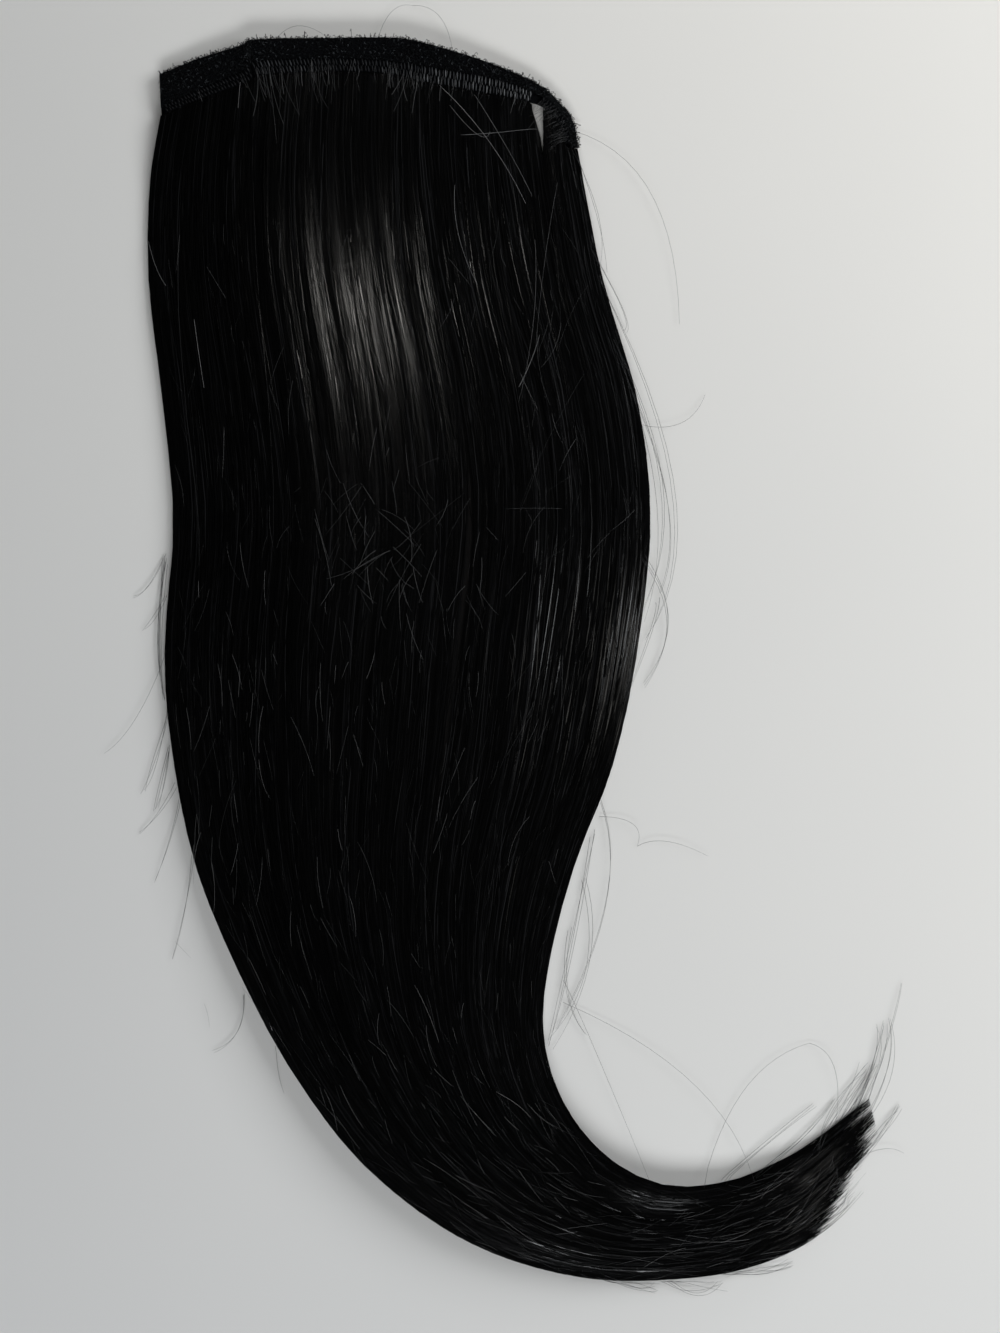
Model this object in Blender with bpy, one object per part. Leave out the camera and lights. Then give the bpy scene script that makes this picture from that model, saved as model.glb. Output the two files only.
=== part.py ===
"""A wrap-around ponytail hairpiece, opened out and lying flat on its underside.

The band lies along the top of the plan (+Y) and the hair falls from it, then curls to the right (+X).
Plan positions are shares of PLAN_WIDTH, counted from the left, and of PLAN_LENGTH, counted down from the
top of the band. "Across" runs from the left edge of the hair (0) to its right edge (1), and "along" runs
from the roots (0) to the tail (1).
"""

import bpy
import numpy as np

# Overall sizes, in metres
PLAN_WIDTH = 0.280
PLAN_LENGTH = 0.480
HAIR_HEIGHT = 0.021
GAP = 0.0004

# Tape
TAPE_TOP = 0.0062
TAPE_THICKNESS = 0.0018
TAPE_EDGE = 0.0005
TAPE_STEP = 0.0009
TAPE_ROWS_PER_STATION = 3

# Sewn tracks
SEAM_RISE = 0.0008
RIB_PITCH = 0.00135
RIB_DEPTH = 0.0004
TIER_GROOVE = 0.0005

# Hair
EDGE_HEIGHT = 0.0011
DOME_POWER = 2.8
RIDGE = 0.0022
ROOT_STEP = 0.0003
ROOT_BLEND = 0.085
ROOT_FADE = 0.20
TUCK_SHARE = 0.60
MEANDER = 0.022
COLUMNS_PER_LOCK = 4
PARTING_ACROSS = 0.455
PARTING_WIDTH = 0.035
PARTING_DEPTH = 0.0030
PARTING_END = 0.150

# The hair's outline, from the roots to the tail: both ends of each row across, and its height in the middle
FALL_COLUMNS = ("left x", "left y", "right x", "right y", "crown")
FALL = np.array(
    [
        [0.019, 0.063, 0.596, 0.091, 0.38],
        [0.003, 0.120, 0.608, 0.128, 0.46],
        [0.003, 0.196, 0.634, 0.200, 0.55],
        [0.022, 0.289, 0.679, 0.289, 0.64],
        [0.037, 0.386, 0.697, 0.386, 0.70],
        [0.025, 0.492, 0.679, 0.492, 0.76],
        [0.036, 0.576, 0.645, 0.584, 0.82],
        [0.068, 0.665, 0.594, 0.661, 0.89],
        [0.122, 0.744, 0.560, 0.734, 0.95],
        [0.198, 0.828, 0.548, 0.799, 1.00],
        [0.301, 0.907, 0.576, 0.857, 1.00],
        [0.443, 0.968, 0.637, 0.901, 0.92],
        [0.602, 0.997, 0.717, 0.924, 0.80],
        [0.765, 0.997, 0.803, 0.921, 0.66],
        [0.877, 0.981, 0.870, 0.906, 0.50],
        [0.956, 0.952, 0.921, 0.889, 0.34],
        [1.022, 0.908, 0.993, 0.861, 0.20],
    ]
)

# The tape's path from its cut left end to its curled right end: outer edge, foot of the pile, lower edge,
# and its top and the drop of its outer edge as shares of TAPE_TOP
TAPE_COLUMNS = ("outer x", "outer y", "foot x", "foot y", "lower x", "lower y", "top", "drop")
TAPE = np.array(
    [
        [0.019, 0.028, 0.021, 0.055, 0.022, 0.061, 0.68, 0.00],
        [0.073, 0.016, 0.076, 0.041, 0.079, 0.048, 0.80, 0.00],
        [0.130, 0.006, 0.134, 0.027, 0.139, 0.036, 0.94, 0.00],
        [0.157, 0.001, 0.159, 0.019, 0.162, 0.030, 1.00, 0.00],
        [0.253, 0.000, 0.253, 0.017, 0.253, 0.027, 1.00, 0.00],
        [0.345, 0.000, 0.337, 0.019, 0.334, 0.029, 1.00, 0.00],
        [0.398, 0.006, 0.393, 0.024, 0.389, 0.036, 1.00, 0.00],
        [0.478, 0.020, 0.474, 0.032, 0.468, 0.044, 0.90, 0.10],
        [0.542, 0.036, 0.530, 0.042, 0.525, 0.050, 0.77, 0.20],
        [0.575, 0.053, 0.560, 0.051, 0.550, 0.055, 0.63, 0.16],
        [0.590, 0.066, 0.579, 0.066, 0.571, 0.069, 0.50, 0.10],
        [0.597, 0.086, 0.587, 0.086, 0.580, 0.086, 0.40, 0.03],
    ]
)

# Each sewn track runs between two places on the tape's path, counted in rows of TAPE
SEAMS = {
    "weft_seam_left": (0.10, 2.55),
    "weft_seam_middle": (2.70, 8.10),
    "weft_seam_end": (8.55, 10.85),
}

# Where the hair between two locks' roots ends, as places along and the share across there
LEFT_BORDER = ((0.00, 0.243), (0.28, 0.243), (0.45, 0.190), (0.60, 0.105), (0.72, 0.020), (0.76, 0.000))
SLIT_LEFT = ((0.000, 0.887), (0.022, 0.903), (0.034, 0.907), (0.15, 0.905), (0.30, 0.930), (0.46, 0.985))
SLIT_RIGHT = ((0.000, 0.921), (0.022, 0.920), (0.034, 0.908), (0.15, 0.906), (0.30, 0.931), (0.46, 0.986))
WHOLE_BY = 0.52

# Locks of each body of hair: where it starts across the body, its ridge and its reach past the body's end
LOCK_COLUMNS = ("start", "ridge", "reach")
MAIN_LOCKS = np.array(
    [
        [0.000, 0.75, 0.10],
        [0.105, 1.00, 0.45],
        [0.215, 0.70, 0.80],
        [0.300, 1.10, 0.35],
        [0.420, 0.85, 1.00],
        [0.515, 1.15, 0.60],
        [0.640, 0.75, 0.90],
        [0.735, 1.00, 0.50],
        [0.865, 0.80, 0.75],
    ]
)
LEFT_LOCKS = np.array([[0.00, 0.80, 0.20], [0.36, 1.10, 1.00], [0.72, 0.75, 0.40]])
END_LOCKS = np.array([[0.00, 0.70, 0.30], [0.48, 1.00, 1.00]])

# Where each body of hair ends along its left and right sides, how far back its tips part, and their depth
ENDS_COLUMNS = ("left end", "right end", "parts from", "notch")
MAIN_ENDS = (0.925, 0.975, 0.850, 0.048)
LEFT_ENDS = (0.720, 0.700, 0.600, 0.018)
END_ENDS = (0.440, 0.480, 0.360, 0.016)

# Rows along, closer together where the slit is
ROWS_ALONG = np.concatenate([[0.0, 0.011, 0.022, 0.034, 0.055, 0.085], np.arange(0.12, 0.86, 0.037)])
TIP_ROWS = (0.0, 0.30, 0.58, 0.82, 1.0)


def clear_scene():
    for thing in list(bpy.data.objects):
        bpy.data.objects.remove(thing, do_unlink=True)


def spline(rows, places):
    """A smooth curve through the rows of a table, at places counted in rows from the first."""
    padded = np.vstack([2 * rows[0] - rows[1], rows, 2 * rows[-1] - rows[-2]])
    places = np.clip(places, 0, len(rows) - 1)
    first = np.minimum(places.astype(int), len(rows) - 2)
    part = (places - first)[..., None]
    a, b, c, d = (padded[first + k] for k in range(4))
    bend = (2 * a - 5 * b + 4 * c - d) * part**2 + (3 * b - a - 3 * c + d) * part**3
    return b + 0.5 * ((c - a) * part + bend)


def smooth_step(value):
    value = np.clip(value, 0, 1)
    return value * value * (3 - 2 * value)


def plan(shares):
    """Shares of the plan's width and length as metres, with Y counted down from the band."""
    return np.asarray(shares) * (PLAN_WIDTH, -PLAN_LENGTH)


def table_at(pairs, places):
    known, values = zip(*pairs)
    return np.interp(places, known, values)


def tape_at(places):
    """Outer edge, foot of the pile and lower edge of the tape in plan, with its top and outer drop."""
    outer, foot, lower = (plan(spline(TAPE[:, k : k + 2], places)) for k in (0, 2, 4))
    stations = np.arange(len(TAPE))
    top = np.interp(places, stations, TAPE[:, 6]) * TAPE_TOP
    drop = np.interp(places, stations, TAPE[:, 7]) * TAPE_TOP
    return outer, foot, lower, top, drop


def closed_sheet(top, bottom):
    """Faces of the closed body between two grids of points, with rows along and columns across."""
    rows, columns = top.shape[:2]
    upper = np.arange(rows * columns).reshape(rows, columns)
    lower = upper + rows * columns
    faces = []

    def strip(a, b, c, d):
        faces.extend(np.stack([a.ravel(), b.ravel(), c.ravel(), d.ravel()], axis=1).tolist())

    strip(upper[:-1, :-1], upper[1:, :-1], upper[1:, 1:], upper[:-1, 1:])
    strip(lower[:-1, 1:], lower[1:, 1:], lower[1:, :-1], lower[:-1, :-1])
    strip(upper[:-1, 0], lower[:-1, 0], lower[1:, 0], upper[1:, 0])
    strip(upper[1:, -1], lower[1:, -1], lower[:-1, -1], upper[:-1, -1])
    strip(upper[0, 1:], lower[0, 1:], lower[0, :-1], upper[0, :-1])
    strip(upper[-1, :-1], lower[-1, :-1], lower[-1, 1:], upper[-1, 1:])
    return np.concatenate([top.reshape(-1, 3), bottom.reshape(-1, 3)]), faces


def closed_sweep(rings):
    """Faces of the closed body through a row of rings of points."""
    rows, around = rings.shape[:2]
    index = np.arange(rows * around).reshape(rows, around)
    ahead = np.roll(index, -1, axis=1)
    sides = np.stack([index[:-1], ahead[:-1], ahead[1:], index[1:]], axis=-1).reshape(-1, 4).tolist()
    caps = [index[0, ::-1].tolist(), index[-1].tolist()]
    return rings.reshape(-1, 3), sides + caps


def at_height(points, height):
    height = np.broadcast_to(height, points.shape[:-1])
    return np.concatenate([points, height[..., None]], axis=-1)


def build_tape():
    """The tape: a flat strip with a rounded outer edge and a thinner ledge under the sewn tracks."""
    stations = len(TAPE) - 1
    places = np.linspace(0, stations, stations * TAPE_ROWS_PER_STATION + 1)
    outer, foot, lower, top, drop = tape_at(places)
    inward = (foot - outer) / np.linalg.norm(foot - outer, axis=1)[:, None]
    ring = [
        at_height(outer, top - drop - TAPE_THICKNESS),
        at_height(outer, top - drop - TAPE_EDGE),
        at_height(outer + inward * TAPE_EDGE, top - drop * 0.9),
        at_height(foot, top),
        at_height(foot, top - TAPE_STEP),
        at_height(lower, top - TAPE_STEP),
        at_height(lower, top - TAPE_THICKNESS),
    ]
    return closed_sweep(np.stack(ring, axis=1))


def build_seam(start, end):
    """A sewn track on the ledge: two tiers of ribs across the track, with a groove between the tiers."""
    fine = np.linspace(start, end, 400)
    path = tape_at(fine)[2]
    length = np.concatenate([[0], np.cumsum(np.linalg.norm(np.diff(path, axis=0), axis=1))])
    ribs = int(length[-1] / RIB_PITCH)
    places = np.interp(np.linspace(0, length[-1], 2 * ribs + 1), length, fine)
    outer, foot, lower, top, drop = tape_at(places)
    width = np.linalg.norm(lower - foot, axis=1)[:, None]
    near = foot + (lower - foot) * (GAP / width)
    rib = np.where(np.arange(len(places)) % 2, 0.0, RIB_DEPTH)
    floor = top - TAPE_STEP + GAP
    crest = top + SEAM_RISE - rib
    ring = [
        at_height(near, floor),
        at_height(near, crest),
        at_height((near + lower) / 2, crest - TIER_GROOVE),
        at_height(lower, crest - RIB_DEPTH / 2),
        at_height(lower, floor),
    ]
    return closed_sweep(np.stack(ring, axis=1))


def root_place(across):
    """The place on the tape's path above each share across, found from its x."""
    fine = np.linspace(0, len(TAPE) - 1, 1200)
    lower = tape_at(fine)[2]
    left, right = plan(FALL[0, :2]), plan(FALL[0, 2:4])
    return np.interp(left[0] + across * (right[0] - left[0]), lower[:, 0], fine)


def root_line(across):
    """Where the hair leaves the tape: just below its lower edge, then round its curled end."""
    outer, foot, lower, top, drop = tape_at(root_place(across))
    away = (lower - outer) / np.linalg.norm(lower - outer, axis=-1)[..., None]
    clear = 2 + 3 * smooth_step((across - 0.88) / 0.06)
    line = lower + away * (clear * ROOT_STEP)[..., None]
    corner = 0.974
    share = np.clip((across - corner) / (1 - corner), 0, 1)[..., None]
    return line * (1 - share) + plan(FALL[0, 2:4]) * share


def fall_point(across, along):
    """Plan of the hair: straight lines across between its two outlines, drawn up to the tape at the roots."""
    rows = spline(FALL[:, :4], along * (len(FALL) - 1))
    left, right = plan(rows[..., :2]), plan(rows[..., 2:4])
    share = across[..., None]
    first = plan(FALL[0, :2]) * (1 - share) + plan(FALL[0, 2:4]) * share
    fade = np.clip(1 - along / ROOT_FADE, 0, 1)[..., None] ** 2
    return left * (1 - share) + right * share + fade * (root_line(across) - first)


def fall_height(across, along, ridge):
    """Height of the hair: a dome across, rows of ridges on it, and the tape's height at the roots."""
    crown = spline(FALL[:, 4:], along * (len(FALL) - 1))[..., 0] * HAIR_HEIGHT
    dome = np.sqrt(np.clip(1 - np.abs(2 * across - 1) ** DOME_POWER, 0, 1))
    near = np.abs(across - PARTING_ACROSS) / PARTING_WIDTH
    parting = PARTING_DEPTH * np.exp(-near * near) * smooth_step(3 * (1 - along / PARTING_END))
    body = crown * dome * 0.9 + (ridge * RIDGE - RIDGE / 2) * dome - parting
    place = root_place(across)
    root = tape_at(place)[3] + SEAM_RISE / 4
    blend = smooth_step(along / ROOT_BLEND)
    return np.maximum(root * (1 - blend) + body * blend, EDGE_HEIGHT)


def build_hair(locks, ends, left, right, tucked):
    """A body of hair in locks: left and right give its two borders, and its tips end in points."""
    left_end, right_end, parts_from, notch = ends
    starts = np.append(locks[:, 0], 1.0)
    inside = np.arange(COLUMNS_PER_LOCK) / COLUMNS_PER_LOCK
    share = (starts[:-1, None] + np.diff(starts)[:, None] * inside).ravel()
    share = np.append(share, 1.0)
    arch = np.append(np.tile(1 - (2 * inside - 1) ** 2, len(locks)), 0.0)
    ridge = np.append(np.repeat(locks[:, 1], COLUMNS_PER_LOCK), 1.0) * arch
    reach = np.append(np.repeat(locks[:, 2], COLUMNS_PER_LOCK), 0.0)

    body = ROWS_ALONG[parts_from - ROWS_ALONG > 0.01]
    tips = np.array(TIP_ROWS)
    end = left_end + (right_end - left_end) * share + notch * (arch * (0.6 + 0.6 * reach) - 0.6)
    along = np.concatenate(
        [
            np.repeat(body[:, None], len(share), axis=1),
            parts_from + tips[:, None] * (end - parts_from),
        ]
    )
    rows = len(along)
    sway = MEANDER * np.sin(np.pi * share) * np.sin(9.0 * along + 7.0 * share)
    low, high = left(along), right(along)
    across = low + (high - low) * np.clip(share + sway, 0, 1)
    plan_points = fall_point(across, along)
    taper = np.ones(rows)
    taper[len(body) :] = 1 - 0.92 * tips**1.6
    ridges = np.broadcast_to(ridge, across.shape)
    height = np.maximum(fall_height(across, along, ridges) * taper[:, None], EDGE_HEIGHT)
    top = at_height(plan_points, height)

    if tucked:
        outer, foot, lower, tape_top, drop = tape_at(root_place(across[0]))
        away = (lower - outer) / np.linalg.norm(lower - outer, axis=1)[:, None]
        under = tape_top - TAPE_THICKNESS - GAP
        inner = at_height(lower + (outer - lower) * TUCK_SHARE, under - drop * TUCK_SHARE)
        edge = at_height(lower + away * ROOT_STEP, under)
        top = np.concatenate([inner[None], edge[None], top])
    bottom = top.copy()
    bottom[..., 2] = 0.0
    return closed_sheet(top, bottom)


def share_gap(along):
    """GAP as a share of the hair's width at each place along."""
    rows = spline(FALL[:, :4], along * (len(FALL) - 1))
    span = plan(rows[..., 2:4]) - plan(rows[..., :2])
    return GAP / np.linalg.norm(span, axis=-1)


def outer_left(along):
    return np.zeros_like(along)


def outer_right(along):
    return np.ones_like(along)


def left_of_main(along):
    return table_at(LEFT_BORDER, along) + share_gap(along)


def right_of_left(along):
    return np.maximum(table_at(LEFT_BORDER, along), 4 * share_gap(along))


def right_of_main(along):
    closing = np.clip((along - 0.46) / (WHOLE_BY - 0.46), 0, 1)
    return table_at(SLIT_LEFT, along) * (1 - closing) + closing


def left_of_end(along):
    return table_at(SLIT_RIGHT, along) + share_gap(along)


def build_all():
    parts = {
        "loop_band": build_tape(),
        "hair_main": build_hair(MAIN_LOCKS, MAIN_ENDS, left_of_main, right_of_main, True),
        "hair_left": build_hair(LEFT_LOCKS, LEFT_ENDS, outer_left, right_of_left, True),
        "hair_end": build_hair(END_LOCKS, END_ENDS, left_of_end, outer_right, False),
    }
    for name, (start, end) in SEAMS.items():
        parts[name] = build_seam(start, end)
    return parts


def material(name, colour, roughness):
    made = bpy.data.materials.new(name)
    made.use_nodes = True
    shader = made.node_tree.nodes["Principled BSDF"]
    shader.inputs["Base Color"].default_value = (*colour, 1.0)
    shader.inputs["Roughness"].default_value = roughness
    return made


LOOKS = {
    "loop_band": ((0.020, 0.021, 0.024), 0.95),
    "weft_seam": ((0.075, 0.078, 0.085), 0.80),
    "hair": ((0.012, 0.011, 0.011), 0.35),
}


def add_objects(parts):
    """Each part as its own object, with the plan's middle moved onto the origin."""
    everything = np.concatenate([points for points, faces in parts.values()])
    middle = (everything.min(axis=0) + everything.max(axis=0)) / 2
    middle[2] = 0.0
    for name, (points, faces) in parts.items():
        mesh = bpy.data.meshes.new(name)
        mesh.from_pydata((points - middle).tolist(), [], faces)
        mesh.validate()
        look = next(key for key in LOOKS if name.startswith(key))
        mesh.materials.append(material(name + "_material", *LOOKS[look]))
        made = bpy.data.objects.new(name, mesh)
        bpy.context.scene.collection.objects.link(made)


clear_scene()
add_objects(build_all())
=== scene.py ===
"""Looks for the ponytail hairpiece: a loop tape with its pile, sewn tracks, and strands of hair.

Plan positions are shares of PLAN_WIDTH from the left and of PLAN_LENGTH down from the top of the tape, as
in the solids. "Across" runs from the hair's left edge (0) to its right edge (1), "along" from its roots (0)
to its tail (1). Sizes are in metres, apart from those in table columns that say mm.
"""

import bpy
import numpy as np
from bpy.props import FloatProperty, FloatVectorProperty, IntProperty, PointerProperty
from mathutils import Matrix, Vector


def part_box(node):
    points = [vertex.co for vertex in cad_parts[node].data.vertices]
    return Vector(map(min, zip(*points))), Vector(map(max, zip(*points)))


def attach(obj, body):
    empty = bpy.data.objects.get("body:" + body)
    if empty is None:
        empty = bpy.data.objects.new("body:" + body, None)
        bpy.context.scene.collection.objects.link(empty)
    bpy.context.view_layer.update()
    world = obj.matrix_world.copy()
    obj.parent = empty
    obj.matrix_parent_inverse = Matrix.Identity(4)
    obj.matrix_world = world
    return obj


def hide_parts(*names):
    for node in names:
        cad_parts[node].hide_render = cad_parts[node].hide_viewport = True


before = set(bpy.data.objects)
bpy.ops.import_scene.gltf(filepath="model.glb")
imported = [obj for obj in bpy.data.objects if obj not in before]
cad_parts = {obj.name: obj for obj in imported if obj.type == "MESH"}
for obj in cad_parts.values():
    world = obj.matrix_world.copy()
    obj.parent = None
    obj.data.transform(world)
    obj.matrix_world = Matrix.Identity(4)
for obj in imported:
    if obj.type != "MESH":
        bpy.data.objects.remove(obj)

bl_info = {
    "name": "Ponytail hairpiece",
    "version": (1, 0, 0),
    "blender": (4, 5, 0),
    "location": "3D View > Sidebar > Hairpiece",
    "description": "Builds the tape, the sewn tracks and the strands of a ponytail hairpiece on a table",
    "category": "Add Mesh",
}

PLAN_WIDTH = 0.280
PLAN_LENGTH = 0.480
HAIR_HEIGHT = 0.021
TAPE_TOP = 0.0062
TAPE_THICKNESS = 0.0018
TAPE_STEP = 0.0009
SEAM_RISE = 0.0008
RIB_PITCH = 0.00135
EDGE_HEIGHT = 0.0011
MM = 0.001
UP = np.array([0.0, 0.0, 1.0])

# A source of random numbers, the same ones in every run
seeded = np.random.default_rng

# Where the hair's last root sits on the tape's curled end, in plan
ROOT_END = (0.596, 0.087)

# The parting and the middle of the slit, as shares across
PARTING_ACROSS = 0.452
SLIT_ACROSS = 0.905

# The photo's size, and the plan's upper left corner and size in it, all in pixels
PHOTO_PIXELS = (1000, 1333)
PLAN_CORNER = (147, 42)
PLAN_PIXELS = (722, 1237)

# The hair's outline from the roots to the tail, and its height in the middle as a share of HAIR_HEIGHT
# Columns, in thousandths: left x, left y, right x, right y, crown
FALL = np.array([
    [19, 63, 596, 91, 380],
    [3, 120, 608, 128, 460],
    [3, 196, 634, 200, 550],
    [22, 289, 679, 289, 640],
    [37, 386, 697, 386, 700],
    [25, 492, 679, 492, 760],
    [36, 576, 645, 584, 820],
    [68, 665, 594, 661, 890],
    [122, 744, 560, 734, 950],
    [198, 828, 548, 799, 1000],
    [301, 907, 576, 857, 1000],
    [443, 968, 637, 901, 920],
    [602, 997, 717, 924, 800],
    [765, 997, 803, 921, 660],
    [877, 981, 870, 906, 500],
    [956, 952, 921, 889, 340],
    [1022, 908, 1000, 854, 200],
]) / 1000

# The tape's path: outer edge, foot of the pile, lower edge, and its top and outer drop as shares of TAPE_TOP
# Columns, in thousandths: outer x, outer y, foot x, foot y, lower x, lower y, top, drop
TAPE = np.array([
    [19, 28, 21, 55, 22, 61, 680, 0],
    [73, 16, 76, 41, 79, 48, 800, 0],
    [130, 6, 134, 27, 139, 36, 940, 0],
    [157, 1, 159, 19, 162, 30, 1000, 0],
    [253, 0, 253, 17, 253, 27, 1000, 0],
    [345, 0, 337, 19, 334, 29, 1000, 0],
    [398, 6, 393, 24, 389, 36, 1000, 0],
    [478, 20, 474, 32, 468, 44, 900, 100],
    [542, 36, 530, 42, 525, 50, 770, 200],
    [575, 53, 560, 51, 550, 55, 630, 160],
    [590, 66, 579, 66, 571, 69, 500, 100],
    [597, 86, 587, 86, 580, 86, 400, 30],
]) / 1000

# The sewn tracks, each from one place on the tape's path to another, counted in rows of TAPE
SEAMS = {
    "weft_seam_left": (0.10, 2.55),
    "weft_seam_middle": (2.70, 8.10),
    "weft_seam_end": (8.55, 10.85),
}

# Borders between the bodies of hair, as places along and the share across there
LEFT_BORDER = ((0.00, 0.243), (0.28, 0.243), (0.45, 0.190), (0.60, 0.105), (0.72, 0.020), (0.76, 0.000))
SLIT_LEFT = (
    (0.000, 0.887), (0.022, 0.903), (0.034, 0.907), (0.150, 0.905),
    (0.300, 0.930), (0.460, 0.985), (0.520, 1.000),
)
SLIT_RIGHT = ((0.000, 0.921), (0.022, 0.920), (0.034, 0.908), (0.15, 0.906), (0.30, 0.931), (0.46, 0.986))

# Strands start below the slit: the share across and the place along
SLIT_STARTS = ((0.890, 0.0), (0.898, 0.038), (0.904, 0.044), (0.911, 0.034), (0.917, 0.0))

# Where each ridge of hair starts, as a share across, and how high it stands against the others
# Columns: start, height
RIDGES = np.array([
    [0.000, 0.80], [0.087, 1.10], [0.175, 0.75], [0.243, 0.75], [0.311, 1.00],
    [0.381, 0.70], [0.436, 1.10], [0.514, 0.85], [0.575, 1.15], [0.655, 0.75],
    [0.716, 1.00], [0.800, 0.80], [0.905, 0.70], [0.955, 1.00], [1.000, 0.00],
])

# Low swells of the lying hair: the middle, half sizes and height of each
# Columns: across, along, wide, long, height mm
SWELLS = (
    (0.46, 0.145, 0.24, 0.120, 1.0),
    (0.85, 0.350, 0.16, 0.070, 1.2),
    (0.20, 0.480, 0.18, 0.080, 1.0),
    (0.70, 0.560, 0.20, 0.070, 1.0),
    (0.30, 0.700, 0.25, 0.060, 0.8),
)

# Where the hair ends: shares across and places along
TAIL_ENDS = ((0.00, 0.935), (0.25, 0.962), (0.50, 0.985), (0.78, 1.002), (0.90, 0.982), (1.00, 1.012))

# How far the strands' facets turn outwards from the left edge to the right, in radians
FAN = 0.40

# How many clumps the strands run in, how many pointed tufts they end in, and the place along up to which
# the clumps are held by the roots
CLUMPS = 80
TUFTS = 26
ROOTS = 0.14

# Layers of strands. The shortest strand of a layer is given as a share of the whole length.
# Columns: name, count, lift mm, half width mm, wander, shortest
LAYERS = (
    ("strands_under", 650, -0.35, 0.24, 0.006, 0.965),
    ("strands_middle", 650, 0.00, 0.20, 0.008, 0.95),
    ("strands_upper", 650, 0.25, 0.17, 0.010, 0.86),
    ("strands_fine", 650, 0.50, 0.11, 0.014, 0.20),
)

# Groups of crossing hairs on top: where each group lies in plan, and how its hairs turn from straight down
# Columns: x, y, spread x, spread y, turn deg, fan deg, count, length mm, bend deg, lift mm
STRAYS = (
    (0.31, 0.41, 0.13, 0.07, -38, 16, 22, 13, 20, 1.0),
    (0.34, 0.43, 0.13, 0.08, 32, 16, 26, 13, 20, 1.0),
    (0.40, 0.44, 0.10, 0.06, 10, 30, 14, 11, 25, 0.8),
    (0.20, 0.52, 0.18, 0.10, 12, 14, 26, 15, 15, 0.6),
    (0.52, 0.50, 0.12, 0.10, -14, 14, 26, 14, 15, 0.6),
    (0.58, 0.40, 0.07, 0.06, -40, 18, 10, 12, 25, 0.8),
    (0.55, 0.22, 0.05, 0.10, -8, 12, 8, 26, 20, 1.0),
    (0.11, 0.62, 0.04, 0.09, -12, 10, 12, 18, 15, 0.6),
    (0.28, 0.74, 0.14, 0.09, 28, 10, 12, 12, 12, 0.3),
    (0.97, 0.895, 0.03, 0.03, 132, 10, 34, 12, 10, 0.4),
    (0.42, 0.87, 0.13, 0.04, 44, 8, 5, 12, 10, 0.3),
)

# Short hairs that stand out of the tracks, between two places on the tape's path
# Columns: first place, last place, count, mean length mm
RETURNS = (
    (2.8, 4.2, 60, 9),
    (4.2, 5.0, 12, 5),
    (5.0, 5.9, 44, 6),
    (5.9, 8.1, 80, 4),
    (8.6, 10.8, 60, 4),
    (0.2, 2.5, 6, 4),
)

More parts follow.
